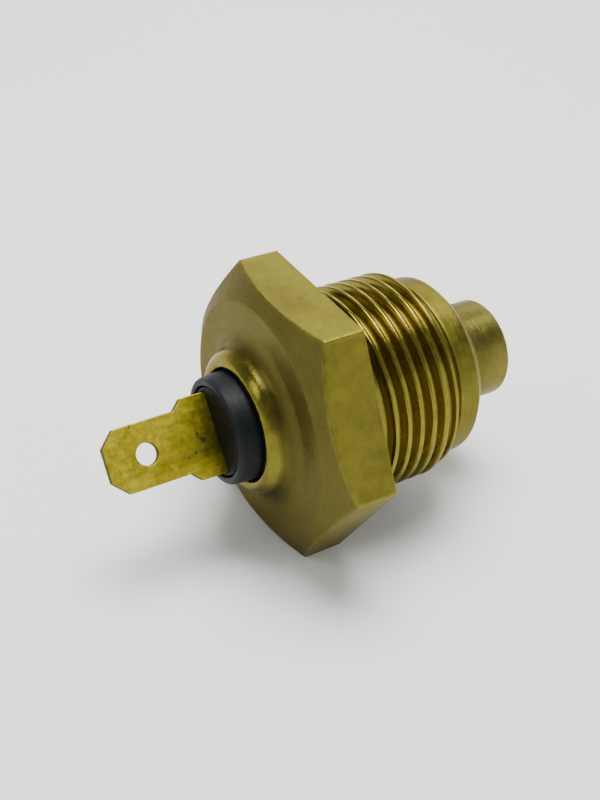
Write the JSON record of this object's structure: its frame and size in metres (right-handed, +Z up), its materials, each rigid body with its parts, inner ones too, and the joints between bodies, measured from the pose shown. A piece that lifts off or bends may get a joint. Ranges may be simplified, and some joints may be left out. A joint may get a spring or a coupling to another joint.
{
  "type": "pressure switch",
  "caption": "Screw-in pressure switch: brass hex head, external thread, sprung round plunger in the nose, and a blade terminal in a black insulator.",
  "frame": {"origin": "bottom centre of the switch's box as it lies on one hex flat, 13.5 mm below its axis", "axes": "+X along the switch's axis, towards the blade terminal; +Z up, square to the hex flat it lies on; the seat face of the hex is the plane x = -0.125 mm"},
  "size_m": [0.0442, 0.0312, 0.027],
  "materials": {
    "brass": "satin, lightly grained",
    "yellow_brass": "satin, rolled strip",
    "bronze": "sintered",
    "silver": "satin",
    "steel": "bright drawn",
    "phenolic": "satin moulded",
    "resin": "glossy cast",
    "rubber": "matt",
    "white_plastic": "waxy",
    "fibre": "matt pressed fibre"
  },
  "bodies": {
    "switch_body": {"hex_body": "brass", "guide_bush": "bronze", "stop_washer": "fibre", "return_spring": "steel", "spring_seat": "steel", "setting_shim": "steel", "insulator": "phenolic", "insulator_seal": "rubber", "clamp_washer": "fibre", "fixed_contact": "silver", "contact_cap": "yellow_brass", "terminal_blade": "yellow_brass", "resin_seal": "resin"},
    "plunger_unit": {"plunger": "brass", "plunger_seal": "rubber", "backup_ring": "white_plastic", "guide_pin": "steel", "contact_spring": "steel"},
    "contact_unit": {"contact_carrier": "yellow_brass", "moving_contact": "silver"}
  },
  "joints": [
    {"name": "plunger_slide", "type": "slide", "parent": "switch_body", "child": "plunger_unit", "axis": [1, 0, 0], "range_m": [0, 0.0015], "stiffness_N_per_m": 2000, "springref_m": -0.002, "deforming": ["return_spring"]},
    {"name": "contact_slide", "type": "slide", "parent": "switch_body", "child": "contact_unit", "axis": [1, 0, 0], "range_m": [0, 0.0008], "deforming": ["contact_spring"]}
  ],
  "couplings": [
    {"joint": "contact_slide", "follows": "plunger_slide", "ratio": 0.533}
  ]
}
